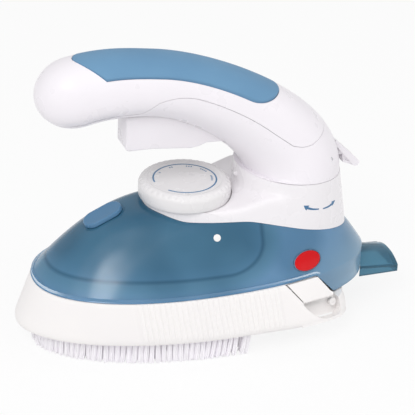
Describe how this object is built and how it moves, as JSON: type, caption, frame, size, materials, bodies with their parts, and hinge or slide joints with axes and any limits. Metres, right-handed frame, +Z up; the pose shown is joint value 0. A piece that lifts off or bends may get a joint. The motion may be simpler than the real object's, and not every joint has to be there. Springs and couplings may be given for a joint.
{
  "type": "travel steam iron",
  "caption": "Travel steam iron with a swivelling arched handle, clear blue water tank, temperature dial, steam trigger and clip-on brush.",
  "frame": {"origin": "middle of the bounding box in plan, at the bristle tips it stands on", "axes": "+X towards the rear, -X towards the nose, +Y towards the right-hand side, +Z up"},
  "size_m": [0.2076, 0.0964, 0.1541],
  "materials": {
    "white_plastic": "gloss",
    "dial_plastic": "satin",
    "brush_plastic": "satin",
    "bristle": "satin",
    "blue_clear_plastic": "clear gloss",
    "blue_rubber": "matt",
    "red_lens": "clear gloss",
    "lamp_glass": "clear",
    "steel": "bright",
    "cast_aluminium": "polished",
    "dark_plastic": "satin",
    "ceramic": "matt",
    "seal_rubber": "matt",
    "brass": "bright"
  },
  "bodies": {
    "brush": {"brush_shroud": "white_plastic", "bristle_plate": "brush_plastic", "bristles": "bristle", "brush_screws": "steel", "latch_pins": "steel"},
    "left_latch": {"latch_left": "white_plastic"},
    "right_latch": {"latch_right": "white_plastic"},
    "iron_base": {"soleplate": "cast_aluminium", "heating_element": "steel", "chamber_gasket": "seal_rubber", "steam_chamber_cover": "steel", "chamber_screws": "steel", "thermostat": "steel", "thermal_fuse": "ceramic", "base_frame": "dark_plastic", "base_screws": "steel", "terminal_block": "ceramic", "cord_gland": "dark_plastic", "tank_shell": "blue_clear_plastic", "tank_floor": "blue_clear_plastic", "tank_seal": "seal_rubber", "rear_hood": "blue_clear_plastic", "pilot_lens": "red_lens", "pilot_lamp": "lamp_glass", "upper_housing": "white_plastic", "pivot_tube": "steel", "retaining_ring": "steel", "pump_cylinder": "white_plastic", "plunger_spring": "steel", "suction_tube": "seal_rubber", "steam_nozzle": "brass"},
    "dial": {"temperature_dial": "dial_plastic", "dial_spindle": "steel"},
    "cap": {"fill_cap": "blue_clear_plastic", "cap_seal": "seal_rubber"},
    "handle": {"handle_lower_shell": "white_plastic", "handle_upper_shell": "white_plastic", "soft_grip": "blue_rubber", "handle_screws": "steel", "trigger_pin": "steel", "lever_pin": "steel", "lock_spring": "steel"},
    "trigger": {"steam_trigger": "white_plastic"},
    "lock": {"lock_lever": "white_plastic"},
    "plunger": {"pump_plunger": "dial_plastic", "plunger_seal": "seal_rubber"}
  },
  "joints": [
    {"name": "iron_lift", "type": "slide", "parent": "brush", "child": "iron_base", "axis": [0, 0, 1], "range_m": [0, 0.06]},
    {"name": "latch_left_turn", "type": "hinge", "parent": "brush", "child": "left_latch", "pos_m": [0.03906, -0.03869, 0.03194], "axis": [-0.9781, -0.2079, 0], "range_deg": [0, 38]},
    {"name": "latch_right_turn", "type": "hinge", "parent": "brush", "child": "right_latch", "pos_m": [0.03906, 0.03869, 0.03194], "axis": [0.9781, -0.2079, 0], "range_deg": [0, 38]},
    {"name": "dial_turn", "type": "hinge", "parent": "iron_base", "child": "dial", "pos_m": [-0.0146, 0, 0.077], "axis": [0, 0, 1], "range_deg": [0, 270]},
    {"name": "cap_flip", "type": "hinge", "parent": "iron_base", "child": "cap", "pos_m": [-0.06687, 0, 0.06158], "axis": [0, -1, 0], "range_deg": [0, 100]},
    {"name": "handle_swivel", "type": "hinge", "parent": "iron_base", "child": "handle", "pos_m": [0.0406, 0, 0.0835], "axis": [0.0941, 0, 0.9956], "range_deg": [-90, 90]},
    {"name": "trigger_pull", "type": "hinge", "parent": "handle", "child": "trigger", "pos_m": [0.0166, 0, 0.108], "axis": [0, 1, 0], "range_deg": [0, 5], "stiffness_Nm_per_rad": 2, "springref_deg": -2.86},
    {"name": "pump_slide", "type": "slide", "parent": "iron_base", "child": "plunger", "axis": [-0.0941, 0, -0.9956], "range_m": [0, 0.0021], "deforming": ["plunger_spring"]},
    {"name": "lock_press", "type": "hinge", "parent": "handle", "child": "lock", "pos_m": [0.0561, 0, 0.0921], "axis": [0, 1, 0], "range_deg": [0, 5], "stiffness_Nm_per_rad": 0.6, "springref_deg": -2.86}
  ],
  "couplings": [
    {"joint": "pump_slide", "follows": "trigger_pull", "m_per_rad": 0.024}
  ]
}
